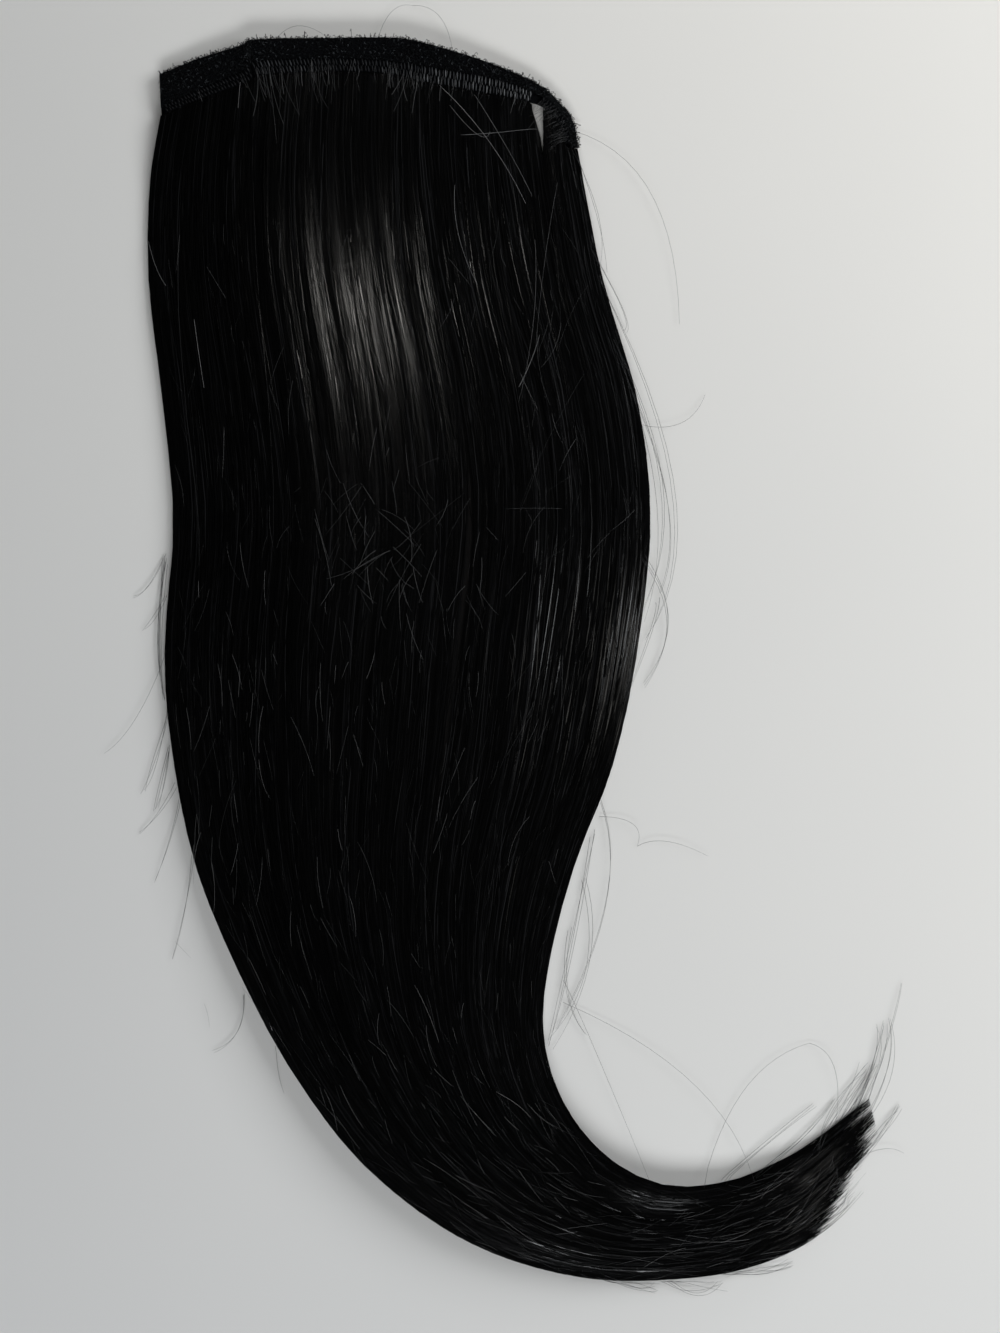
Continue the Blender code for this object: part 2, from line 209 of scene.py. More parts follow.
# Long loose hairs, each group through three places in thousandths of the plan. The first nine groups have a
# high tone, a painted sheen, because they show light against the black.
# Columns: x 1, y 1, x 2, y 2, x 3, y 3, lift mm, count, spread mm, tone
ARCS = np.array([
    [139, 5, 133, 31, 129, 57, 1.2, 1, 0, 0.9],
    [435, 79, 489, 77, 542, 72, 1.5, 1, 0, 0.9],
    [406, 39, 472, 83, 524, 134, 1.5, 1, 0, 0.9],
    [447, 40, 496, 87, 533, 128, 1.5, 1, 0, 0.8],
    [420, 55, 458, 79, 475, 76, 1.5, 1, 0, 0.8],
    [427, 120, 432, 160, 458, 200, 0.8, 1, 0, 0.9],
    [515, 282, 532, 260, 543, 240, 0.8, 1, 0, 0.9],
    [3, 162, 15, 184, 29, 199, 0.6, 1, 0, 0.9],
    [69, 227, 76, 255, 83, 282, 0.6, 1, 0, 0.9],
    [586, 72, 698, 124, 736, 230, 1.5, 1, 0.3, 0.1],
    [592, 86, 623, 140, 633, 184, 1.2, 2, 0.8, 0.1],
    [616, 167, 657, 216, 661, 233, 1.2, 2, 0.8, 0.1],
    [626, 194, 729, 363, 690, 483, 1.5, 2, 0.6, 0],
    [646, 243, 711, 363, 682, 467, 1.5, 3, 0.9, 0.1],
    [664, 271, 722, 369, 706, 445, 1.5, 2, 0.9, 0.1],
    [686, 418, 722, 467, 686, 521, 1.5, 3, 1.0, 0.1],
    [706, 450, 698, 478, 660, 527, 1.5, 2, 1.0, 0.1],
    [686, 310, 741, 308, 773, 285, 1.5, 1, 0, 0.1],
    [629, 613, 638, 694, 566, 799, 1.5, 2, 0.6, 0],
    [615, 639, 589, 734, 556, 811, 1.0, 3, 1.0, 0],
    [599, 679, 611, 746, 561, 811, 1.2, 2, 1.0, 0.1],
    [586, 718, 580, 766, 606, 803, 1.2, 2, 0.8, 0.1],
    [626, 626, 673, 632, 679, 650, 1.2, 1, 0, 0.1],
    [679, 650, 720, 646, 777, 658, 1.2, 1, 0, 0.1],
    [576, 776, 752, 839, 839, 918, 1.5, 1, 0, 0.1],
    [576, 758, 615, 807, 696, 920, 1.2, 1, 0, 0.1],
    [770, 924, 827, 846, 917, 809, 1.5, 1, 0, 0.1],
    [917, 809, 952, 830, 952, 880, 1.5, 1, 0, 0.1],
    [796, 922, 863, 888, 923, 859, 1.2, 3, 0.7, 0],
    [925, 895, 959, 860, 993, 829, 1.0, 6, 1.3, 0],
    [958, 880, 985, 851, 1006, 827, 1.0, 7, 1.2, 0],
    [840, 916, 900, 886, 950, 854, 1.0, 4, 0.7, 0],
    [976, 872, 1008, 827, 1019, 794, 1.2, 6, 0.9, 0],
    [986, 879, 1024, 831, 1028, 789, 1.5, 3, 0.8, 0],
    [986, 877, 1026, 806, 1044, 760, 1.5, 2, 0.3, 0.1],
    [980, 910, 1018, 882, 1042, 860, 1.2, 6, 1.1, 0],
    [984, 902, 1020, 894, 1048, 898, 1.2, 1, 0, 0.2],
    [915, 956, 949, 944, 972, 930, 1.0, 8, 1.2, 0],
    [795, 989, 849, 993, 893, 987, 0.8, 6, 1.0, 0],
    [627, 994, 672, 1005, 705, 1006, 0.8, 6, 1.6, 0],
    [720, 998, 760, 1006, 795, 1003, 0.8, 5, 1.6, 0],
    [28, 492, -14, 546, -59, 575, 1.5, 1, 0, 0],
    [30, 543, 11, 584, -7, 607, 1.2, 3, 0.8, 0],
    [36, 572, 21, 601, 10, 621, 1.2, 4, 1.0, 0],
    [40, 600, 15, 625, -10, 640, 1.2, 2, 0.6, 0],
    [46, 611, 28, 649, 11, 677, 1.2, 2, 0.5, 0],
    [64, 656, 53, 702, 35, 741, 1.2, 2, 0.4, 0],
    [134, 770, 126, 799, 93, 817, 1.2, 2, 0.4, 0],
    [179, 810, 182, 831, 190, 850, 1.0, 1, 0, 0],
    [26, 415, 4, 439, -19, 449, 1.0, 2, 0.4, 0],
    [26, 448, 10, 466, -6, 475, 1.0, 2, 0.5, 0],
    [24, 419, 15, 483, 24, 532, 1.0, 7, 0.8, 0],
    [170, 6, 212, -12, 267, 6, 1.5, 1, 0, 0.1],
    [316, 6, 337, -22, 367, -29, 1.5, 1, 0, 0.1],
    [367, -29, 406, -19, 424, 12, 1.5, 1, 0, 0.1],
])


def srgb(code):
    """A hex colour such as #1a1614 as linear red, green, blue and full alpha."""
    value = np.array([int(code[k : k + 2], 16) for k in (1, 3, 5)]) / 255
    linear = np.where(value <= 0.04045, value / 12.92, ((value + 0.055) / 1.055) ** 2.4)
    return (*linear.tolist(), 1.0)


def spline(rows, places):
    """A smooth curve through a table's rows: each piece is a cubic with slopes from the rows beside it."""
    padded = np.vstack([2 * rows[0] - rows[1], rows, 2 * rows[-1] - rows[-2]])
    places = np.clip(places, 0, len(rows) - 1)
    first = np.minimum(places.astype(int), len(rows) - 2)
    part = (places - first)[..., None]
    a, b, c, d = (padded[first + k] for k in range(4))
    bend = (2 * a - 5 * b + 4 * c - d) * part**2 + (3 * b - a - 3 * c + d) * part**3
    return b + 0.5 * ((c - a) * part + bend)


def smooth_step(value):
    """A smooth rise from 0 to 1 with the value: its square times three less twice the value."""
    value = np.clip(value, 0, 1)
    return value * value * (3 - 2 * value)


def table_at(pairs, places):
    """Values at places, on straight lines between the pairs of place and value."""
    known, values = zip(*pairs)
    return np.interp(places, known, values)


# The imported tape's box, and where the plan's upper left corner lies because of it
LOW, HIGH = (np.array(corner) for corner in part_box("loop_band"))
SHIFT = np.array([LOW[0] - TAPE[0, 0] * PLAN_WIDTH, HIGH[1]])


def plan(shares):
    """Shares of the plan as metres in the shared frame."""
    return np.asarray(shares) * (PLAN_WIDTH, -PLAN_LENGTH) + SHIFT


def unit(vectors):
    """Vectors cut to a length of one."""
    return vectors / (np.linalg.norm(vectors, axis=-1, keepdims=True) + 1e-12)


def quarter_turn(directions):
    """Plan directions turned left by a right angle."""
    return np.stack([-directions[:, 1], directions[:, 0]], axis=1)


def curves(base, *moves):
    """A path from each base point: to it are added directions, each times its amounts along the path."""
    return base[:, None] + sum(direction[:, None] * amounts for direction, amounts in moves)


def near_end(along, end, over):
    """A smooth rise from 0 to 1 over the last stretch before the end of each strand."""
    return smooth_step((along - end[:, None] + over) / over)


def at_height(points, height):
    """Plan points with their heights as the third number."""
    return np.concatenate([points, np.broadcast_to(height, points.shape[:-1])[..., None]], axis=-1)


def tape_at(places):
    """Outer edge, foot of the pile and lower edge of the tape in plan, with its top and outer drop."""
    outer, foot, lower = (plan(spline(TAPE[:, k : k + 2], places)) for k in (0, 2, 4))
    stations = np.arange(len(TAPE))
    top = np.interp(places, stations, TAPE[:, 6]) * TAPE_TOP
    drop = np.interp(places, stations, TAPE[:, 7]) * TAPE_TOP
    return outer, foot, lower, top, drop


def root_place(across):
    """The place on the tape's path above each share across, found from its x."""
    fine = np.linspace(0, len(TAPE) - 1, 1200)
    lower = tape_at(fine)[2]
    left = plan(FALL[0, :2])
    right = plan(FALL[0, 2:4])
    return np.interp(left[0] + across * (right[0] - left[0]), lower[:, 0], fine)


def root_line(across):
    """Where the hair leaves the tape: along its lower edge, then round its curled end from the corner on."""
    lower = tape_at(root_place(across))[2]
    corner = 0.974
    share = np.clip((across - corner) / (1 - corner), 0, 1)[..., None]
    return lower * (1 - share) + plan(ROOT_END) * share


def fall_point(across, along):
    """Plan of the hair: straight lines across between its outlines, drawn up to the tape at the roots."""
    root_fade = 0.20
    rows = spline(FALL[:, :4], along * (len(FALL) - 1))
    left = plan(rows[..., :2])
    right = plan(rows[..., 2:4])
    share = across[..., None]
    first = plan(FALL[0, :2]) * (1 - share) + plan(FALL[0, 2:4]) * share
    fade = np.clip(1 - along / root_fade, 0, 1)[..., None] ** 2
    return left * (1 - share) + right * share + fade * (root_line(np.clip(across, 0, 1)) - first)


def fall_height(across, along):
    """Height of the locks: nine tenths of the crown times a flattened dome across, plus arched ridges that
    grow down the hair, less the parting, plus low swells. It blends into the tape at the roots and dips by
    the slit."""
    dome_power = 2.8
    sway_size = 0.014
    parting_depth = 0.001
    root_blend = 0.085
    slit_dip = 0.6
    inner = np.clip(across, 0, 1)
    crown = spline(FALL[:, 4:], along * (len(FALL) - 1))[..., 0] * HAIR_HEIGHT
    dome = np.sqrt(np.clip(1 - np.abs(2 * inner - 1) ** dome_power, 0, 1))
    sway = inner + sway_size * np.sin(np.pi * inner) * np.sin(9.0 * along + 7.0 * inner)
    lock = np.clip(np.searchsorted(RIDGES[:, 0], sway, side="right") - 1, 0, len(RIDGES) - 2)
    phase = (sway - RIDGES[lock, 0]) / (RIDGES[lock + 1, 0] - RIDGES[lock, 0])
    ridge = RIDGES[lock, 1] * (1 - (2 * phase - 1) ** 2)
    parting = np.exp(-(((inner - PARTING_ACROSS) / 0.03) ** 2)) * smooth_step(2 * (1 - along / 0.13))
    ridge_height = 0.0002 + 0.0006 * smooth_step((along - 0.3) / 0.4)
    body = crown * dome * 0.9 + ridge_height * (ridge - 0.5) * dome - parting_depth * parting
    for place, far, wide, long, height in SWELLS:
        near = ((inner - place) / wide) ** 2 + ((along - far) / long) ** 2
        body = body + height * MM * np.exp(-near) * dome
    root = tape_at(root_place(inner))[3] + SEAM_RISE / 4
    blend = smooth_step(along / root_blend)
    slit = np.exp(-(((inner - SLIT_ACROSS) / 0.022) ** 2)) * (1 - smooth_step((along - 0.04) / 0.05))
    return np.maximum((root * (1 - blend) + body * blend) * (1 - slit_dip * slit), EDGE_HEIGHT)


def cross_slope(across, along):
    """Slope of the locks from left to right: the change of height between two near places over their plan
    distance, which counts as a tenth of a millimetre at least."""
    step = 0.004
    low = np.clip(across - step, 0, 1)
    high = np.clip(across + step, 0, 1)
    run = np.linalg.norm(fall_point(high, along) - fall_point(low, along), axis=-1)
    return (fall_height(high, along) - fall_height(low, along)) / np.maximum(run, 0.0001)


def height_map(cell=0.0015):
    """A function that gives the hair's height at plan points, as the weighted mean of four cells of a grid.
    It gives 0 where there is only table."""
    margin = 0.05
    wide, long = 0.40, 0.60
    across, along = np.meshgrid(np.linspace(0, 1, 420), np.linspace(0, 0.95, 900))
    points = fall_point(across, along).reshape(-1, 2)
    height = fall_height(across, along).ravel()
    corner = np.array([LOW[0] - margin, HIGH[1] - PLAN_LENGTH - margin])
    grid = np.zeros((int(wide / cell), int(long / cell)))
    index = ((points - corner) / cell).astype(int)
    np.maximum.at(grid, (index[:, 0], index[:, 1]), height)

    def look_up(places):
        found = (places - corner) / cell - 0.5
        low = np.clip(found.astype(int), 0, np.array(grid.shape) - 2)
        part = np.clip(found - low, 0, 1)
        x, y = low[..., 0], low[..., 1]
        below = grid[x, y] * (1 - part[..., 0]) + grid[x + 1, y] * part[..., 0]
        above = grid[x, y + 1] * (1 - part[..., 0]) + grid[x + 1, y + 1] * part[..., 0]
        return below * (1 - part[..., 1]) + above * part[..., 1]

    return look_up


def mesh_object(name, points, loops, starts, uv=None, sharp_rings=None, smooth=True):
    """A mesh from whole arrays. With sharp_rings, the points in a ring and the rings in a tube, the edges
    along each tube and those of its ends are sharp."""
    mesh = bpy.data.meshes.new(name)
    mesh.vertices.add(len(points))
    mesh.vertices.foreach_set("co", np.ascontiguousarray(points, np.float32).ravel())
    mesh.loops.add(len(loops))
    mesh.loops.foreach_set("vertex_index", loops.astype(np.int32))
    mesh.polygons.add(len(starts))
    mesh.polygons.foreach_set("loop_start", starts.astype(np.int32))
    mesh.update(calc_edges=True)
    if smooth:
        mesh.shade_smooth()
    else:
        mesh.shade_flat()
    if sharp_rings:
        sides, steps = sharp_rings
        ends = np.empty(len(mesh.edges) * 2, np.int32)
        mesh.edges.foreach_get("vertices", ends)
        ring = ends.reshape(-1, 2) // sides
        at_end = (ring[:, 0] % steps == 0) | (ring[:, 0] % steps == steps - 1)
        sharp = mesh.attributes.new("sharp_edge", "BOOLEAN", "EDGE")
        sharp.data.foreach_set("value", (ring[:, 0] != ring[:, 1]) | at_end)
    if uv is not None:
        layer = mesh.uv_layers.new(name="StrandMap")
        layer.data.foreach_set("uv", np.ascontiguousarray(uv[loops], np.float32).ravel())
    made = bpy.data.objects.new(name, mesh)
    bpy.context.scene.collection.objects.link(made)
    return made


def face_arrays(quads, caps):
    """Loops and polygon starts for an array of quads and an array of equal caps."""
    loops = np.concatenate([quads.ravel(), caps.ravel()])
    cap_starts = len(quads) * 4 + np.arange(len(caps)) * caps.shape[1]
    starts = np.concatenate([np.arange(len(quads)) * 4, cap_starts])
    return loops, starts


def tubes(name, paths, radius, tone, sides=3, flat=1.0, roll=0.0, sharp=False, lean=UP):
    """Closed tubes along many paths at once. At each point of a path a ring stands square to it: its corners
    lie at equal angles, at the radius sideways and at the radius times flat upwards, turned by roll. The map
    holds each tube's tone and the share of its length."""
    count, steps = paths.shape[:2]
    ahead = unit(np.gradient(paths, axis=1))
    side = unit(np.cross(ahead, lean))
    up = np.cross(side, ahead)
    turn = np.broadcast_to(roll, (count, steps))[..., None]
    side, up = (
        side * np.cos(turn) + up * np.sin(turn),
        up * np.cos(turn) - side * np.sin(turn),
    )
    radius = np.broadcast_to(radius, (count, steps))[..., None, None]
    angle = np.pi / 2 + np.pi / sides + 2 * np.pi * np.arange(sides) / sides
    ring = np.cos(angle)[:, None] * side[..., None, :] + flat * np.sin(angle)[:, None] * up[..., None, :]
    points = (paths[..., None, :] + radius * ring).reshape(-1, 3)
    index = np.arange(count * steps * sides).reshape(count, steps, sides)
    after = np.roll(index, -1, axis=2)
    quads = np.stack([index[:, :-1], index[:, 1:], after[:, 1:], after[:, :-1]], axis=-1).reshape(-1, 4)
    caps = np.concatenate([index[:, 0], index[:, -1, ::-1]])
    loops, starts = face_arrays(quads, caps)
    share = np.linspace(0, 1, steps)
    uv = np.stack(np.broadcast_arrays(tone[:, None, None], share[:, None] + 0 * angle), axis=-1)
    return mesh_object(name, points, loops, starts, uv.reshape(-1, 2), (sides, steps) if sharp else None)


def sheet_solid(name, top, bottom, uv):
    """The closed body between two grids of points, with rows along and columns across."""
    rows, columns = top.shape[:2]
    upper = np.arange(rows * columns).reshape(rows, columns)
    lower = upper + rows * columns
    strips = (
        (upper[:-1, :-1], upper[1:, :-1], upper[1:, 1:], upper[:-1, 1:]),
        (lower[:-1, 1:], lower[1:, 1:], lower[1:, :-1], lower[:-1, :-1]),
        (upper[:-1, 0], lower[:-1, 0], lower[1:, 0], upper[1:, 0]),
        (upper[1:, -1], lower[1:, -1], lower[:-1, -1], upper[:-1, -1]),
        (upper[0, 1:], lower[0, 1:], lower[0, :-1], upper[0, :-1]),
        (upper[-1, :-1], lower[-1, :-1], lower[-1, 1:], upper[-1, 1:]),
    )
    quads = np.concatenate([np.stack([c.ravel() for c in corners], axis=1) for corners in strips])
    points = np.concatenate([top.reshape(-1, 3), bottom.reshape(-1, 3)])
    both = np.tile(uv.reshape(-1, 2), (2, 1))
    return mesh_object(name, points, quads.ravel(), np.arange(len(quads)) * 4, both)


def sweep_solid(name, *lines):
    """The closed body through the lines of a sweep, each of plan points and heights, with flat end caps."""
    rings = np.stack([at_height(*line) for line in lines], axis=1)
    rows, around = rings.shape[:2]
    index = np.arange(rows * around).reshape(rows, around)
    after = np.roll(index, -1, axis=1)
    quads = np.stack([index[:-1], after[:-1], after[1:], index[1:]], axis=-1).reshape(-1, 4)
    caps = np.stack([index[0, ::-1], index[-1]])
    loops, starts = face_arrays(quads, caps)
    uv = np.stack(np.meshgrid(np.linspace(0, 1, around), np.linspace(0, 1, rows)), axis=-1).reshape(-1, 2)
    return mesh_object(name, rings.reshape(-1, 3), loops, starts, uv, smooth=False)


def finish_piece(made, material, slot, *stands_for):
    """Gives a piece its material and body, and hides the solids that it replaces."""
    made.data.materials.append(material)
    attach(made, "root")
    if stands_for:
        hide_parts(*stands_for)
    return made


def set_inputs(node, inputs):
    """Sets a node's inputs to values, or links them from sockets."""
    for name, value in inputs.items():
        if isinstance(value, bpy.types.NodeSocket):
            node.id_data.links.new(value, node.inputs[name])
        else:
            node.inputs[name].default_value = value


def add_node(tree, kind, inputs=None, **settings):
    """A shader node with its settings and inputs."""
    made = tree.nodes.new("ShaderNode" + kind)
    for name, value in settings.items():
        setattr(made, name, value)
    set_inputs(made, inputs or {})
    return made


def new_material(name):
    """A material with its node tree and shader."""
    made = bpy.data.materials.new(name)
    made.use_nodes = True
    return made, made.node_tree, made.node_tree.nodes["Principled BSDF"]


def ramp(tree, factor, stops):
    """The colour between the stops at a factor, from pairs of place and hex colour."""
    made = add_node(tree, "ValToRGB", {"Fac": factor})
    while len(made.color_ramp.elements) < len(stops):
        made.color_ramp.elements.new(0.5)
    for element, (place, code) in zip(made.color_ramp.elements, stops):
        element.position = place
        element.color = srgb(code)
    return made.outputs["Color"]


def strand_material(name, stops, roughness, spread, specular=0.5):
    """Smooth black synthetic fibre: each strand has its own tone and gloss from its map's first number."""
    made, tree, shader = new_material(name)
    uv = add_node(tree, "UVMap", uv_map="StrandMap").outputs["UV"]
    tone = add_node(tree, "SeparateXYZ", {"Vector": uv}).outputs["X"]
    limits = {"Value": tone, "To Min": roughness, "To Max": roughness + spread}
    rough = add_node(tree, "MapRange", limits).outputs["Result"]
    colour = ramp(tree, tone, stops)
    set_inputs(shader, {"Base Color": colour, "Roughness": rough, "Specular IOR Level": specular})
    return made


def painted_sheen_hair_material():
    """Single loose hairs: the same synthetic hair, painted paler as painted sheen, because each is thin
    enough for light to pass.
    """
    found = bpy.data.materials.get("loose_hair_painted_sheen")
    stops = ((0.0, "#0b0b0b"), (0.4, "#3a3a3a"), (0.9, "#727171"), (1.0, "#949292"))
    return found or strand_material("loose_hair_painted_sheen", stops, 0.30, 0.12)


def add_grain(tree, shader, noise, stops, strength, roughness, specular):
    """Colour between the stops and relief of 0.4 mm from one noise, on a dull surface."""
    relief = {"Height": noise, "Strength": strength, "Distance": 0.0004}
    normal = add_node(tree, "Bump", relief).outputs["Normal"]
    set_inputs(shader, {"Base Color": ramp(tree, noise, stops), "Normal": normal})
    set_inputs(shader, {"Roughness": roughness, "Specular IOR Level": specular})


def body_material():
    """Packed hair under the strands: fine streaks along the map, from stretched noise, and darker."""
    made, tree, shader = new_material("packed_black_hair")
    uv = add_node(tree, "UVMap", uv_map="StrandMap").outputs["UV"]
    streak = add_node(tree, "Mapping", {"Vector": uv, "Scale": (420.0, 6.0, 1.0)}).outputs["Vector"]
    noise = add_node(tree, "TexNoise", {"Vector": streak, "Scale": 1.0, "Detail": 3.0}).outputs["Fac"]
    add_grain(tree, shader, noise, ((0.30, "#020202"), (0.75, "#0e0c0b")), 0.6, 0.6, 0.08)
    return made


def felt_material(name):
    """Woven ground of the tape under its loops: dull black polyamide with a fine uneven grain of 0.5 mm."""
    made, tree, shader = new_material(name)
    place = add_node(tree, "TexCoord").outputs["Object"]
    noise = add_node(tree, "TexNoise", {"Vector": place, "Scale": 1900.0, "Detail": 2.0}).outputs["Fac"]
    add_grain(tree, shader, noise, ((0.38, "#010102"), (0.62, "#07080a")), 0.8, 0.95, 0.06)
    return made


def table_material():
    """Pale painted table top, satin: its tone rises slowly to +X and +Y as painted light, with broad faint
    unevenness of its own.
    """
    made, tree, shader = new_material("pale_table_painted_light")
    place = add_node(tree, "TexCoord").outputs["Object"]
    noise = add_node(tree, "TexNoise", {"Vector": place, "Scale": 3.0, "Detail": 2.0}).outputs["Fac"]
    # Painted light: the tone rises towards +X and +Y, for light that falls off towards the lower left
    rise = add_node(tree, "VectorMath", {0: place, 1: (0.9, 0.75, 0.0)}, operation="DOT_PRODUCT")
    uneven = {0: noise, 1: 0.2, 2: rise.outputs["Value"]}
    mixed = add_node(tree, "Math", uneven, operation="MULTIPLY_ADD").outputs["Value"]
    grain_and_painted_light = add_node(tree, "Math", {0: mixed, 1: 0.4}, operation="ADD").outputs["Value"]
    stops = ((0.15, "#cfcecc"), (0.50, "#dddbd7"), (0.85, "#f1ede6"))
    set_inputs(shader, {"Base Color": ramp(tree, grain_and_painted_light, stops), "Roughness": 0.6})
    return made


LENGTH = {"subtype": "DISTANCE", "unit": "LENGTH"}
COLOUR = {"subtype": "COLOR", "size": 3}


class HairpieceSizes(bpy.types.PropertyGroup):
    """Sizes of the strands, loops and stitches."""

    strand_scale: FloatProperty(
        name="Strand width", description="Width of the drawn strands against the usual", default=1.0
    )
    pile_height: FloatProperty(
        name="Pile height", description="Height of the tape's loops", default=0.0009, **LENGTH
    )
    pile_count: IntProperty(name="Loops", description="Number of loops on the tape", default=4200)
    stitch_radius: FloatProperty(
        name="Stitch", description="Half thickness of a stitch", default=0.00022, **LENGTH
    )


class HairpieceColours(bpy.types.PropertyGroup):
    """Colours of the light and the stage."""

    key_light: FloatVectorProperty(
        name="Key light",
        description="Colour of the small lights that make the streaks",
        default=(1.0, 0.97, 0.92),
        **COLOUR,
    )
    fill_light: FloatVectorProperty(
        name="Fill light",
        description="Colour of the broad lights around",
        default=(0.94, 0.97, 1.0),
        **COLOUR,
    )


def body_borders(name, along):
    """Left and right border of a body of hair as shares across, with a small gap to the next."""
    gap = 0.001
    if name == "hair_left":
        return np.zeros_like(along), np.maximum(table_at(LEFT_BORDER, along) - gap, 0.006)
    if name == "hair_end":
        return table_at(SLIT_RIGHT, along) + gap, np.ones_like(along)
    return table_at(LEFT_BORDER, along) + gap, table_at(SLIT_LEFT, along)


# Bodies under the strands: the faces of each, where it ends, and the share of it that is rounded off
# Columns: name, columns, rows, left end, right end, rounded over
BODIES = (
    ("hair_main", 150, 120, 0.880, 0.945, 0.06),
    ("hair_left", 44, 90, 0.715, 0.700, 0.08),
    ("hair_end", 26, 60, 0.440, 0.470, 0.08),
)

# How far the bodies lie below the locks' height
SINK = 0.0009

# Where facets turn otherwise than elsewhere, for the streaks of light there: middle and half widths
# Columns: name, across, along, half across, half along
SPOTS = (
    ("inner edge", 0.975, 0.312, 0.045, 0.026),
    ("inner bend", 0.880, 0.760, 0.090, 0.030),
    ("outer bend", 0.310, 0.705, 0.070, 0.030),
    ("sheen", 0.820, 0.312, 0.150, 0.050),
)


class HAIRPIECE_OT_bodies(bpy.types.Operator):
    """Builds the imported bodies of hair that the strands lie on"""

    bl_idname = "hairpiece.bodies"
    bl_label = "Hair bodies"

    def execute(self, context):
        packed = body_material()
        for name, columns, rows, left_end, right_end, over in BODIES:
            share = np.linspace(0, 1, columns)
            far = np.linspace(0, 1, rows)[:, None]
            along = far * (left_end + (right_end - left_end) * share)
            low, high = body_borders(name, along)
            across = low + (high - low) * share
            height = fall_height(across, along) - SINK
            # The end thins to 15 percent of its height over the rounded share of the length
            taper = 1 - 0.85 * smooth_step((far - 1 + over) / over)
            height = np.maximum(height * taper, EDGE_HEIGHT * 0.7)
            points = fall_point(across, along)
            uv = np.stack([across, along], axis=-1)
            made = sheet_solid(name + "_body", at_height(points, height), at_height(points, 0.0001), uv)
            finish_piece(made, packed, "hair", name)
        return {"FINISHED"}


def spot_at(place, along, across_middle, along_middle, wide, long):
    """One at the middle of a spot on the hair, falling off around it like a bell: e to the minus first power
    at its half widths."""
    return np.exp(-(((place - across_middle) / wide) ** 2) - ((along - along_middle) / long) ** 2)


def slow_waves(random, count, share, cycles):
    """Sums of three sines along each strand, each with its own rate, size and start: a smooth wander."""
    total = 0
    for _ in range(3):
        rate = random.uniform(0.4, 1.0, (count, 1)) * cycles
        size = random.normal(0, 0.6, (count, 1))
        total = total + size * np.sin(2 * np.pi * (rate * share + random.random((count, 1))))
    return total


def uneven_shares(random, count):
    """Borders from 0 to 1 of that many parts of uneven width."""
    widths = random.gamma(2.2, 1.0, count) + 0.3
    return np.concatenate([[0], np.cumsum(widths)]) / widths.sum() + np.linspace(0, 1e-9, count + 1)


def strand_courses(random, count, wander, shortest, share):
    """Where strands run, as shares across and places along, with the end and the clump of each.

    Strands start evenly over the roots and are drawn to the middle of their clump on the way down, and last
    to the middle of their tuft, which gives the tail its points. A slow wander of the clump and one of the
    strand are added below the roots. What would leave the outline is folded back inside."""
    borders = uneven_shares(seeded(12), CLUMPS)
    ends = uneven_shares(seeded(13), TUFTS)
    held = seeded(14).uniform(0.1, 0.6, CLUMPS)
    spot = (np.arange(count) + random.random(count)) / count
    across = spot - 0.055 * np.sin(2 * np.pi * spot) / np.pi
    clump = np.searchsorted(borders, across, side="right") - 1
    middle = (borders[clump] + borders[clump + 1]) / 2
    tuft = np.searchsorted(ends, across, side="right") - 1
    whole = table_at(TAIL_ENDS, across) + seeded(8).normal(0, 0.010, TUFTS)[tuft]
    reach = shortest + (1 - shortest) * random.random(count)
    start = np.zeros(count)
    # A layer of short strands starts anywhere down the hair, the others at the roots
    if shortest < 0.5:
        start = random.random(count) * (1 - reach)
    start = np.maximum(start, table_at(SLIT_STARTS, across) + 0.003 * random.random(count))
    end = np.minimum(start + reach * whole + random.normal(0, 0.004, count), 1.015)
    along = start[:, None] + (end - start)[:, None] * share
    pull = held[clump][:, None] * smooth_step(along)
    own = across[:, None] + (middle - across)[:, None] * pull
    last = near_end(along, end, 0.05)
    own = own + ((ends[tuft] + ends[tuft + 1])[:, None] / 2 - own) * 0.4 * last
    own = own + random.normal(0, 0.020, (count, 1)) * last
    group = slow_waves(seeded(7), CLUMPS, share, 1.6)[clump] * 0.006
    loose = slow_waves(random, count, share, 2.5) * wander
    place = own + (group + loose) * smooth_step(along / ROOTS)
    place = np.where(place < 0, -0.3 * place, place)
    place = np.where(place > 1, 1 - 0.3 * (place - 1), place)
    return place, along, end, clump


def strand_heights(random, lift, place, along, end, clump, share):
    """Heights of the strands: the locks' height, less towards each strand's end, plus the layer's lift and
    slow waves of the clump and of the strand."""
    up = slow_waves(seeded(9), CLUMPS, share, 2.0)[clump] * 0.18
    own = slow_waves(random, len(place), share, 7.0) * 0.30
    rise = (lift + up * smooth_step(along / ROOTS) + own) * MM
    fade = 1 - 0.72 * near_end(along, end, 0.09)
    return np.maximum(fall_height(place, along) * fade + rise, 0.0006)


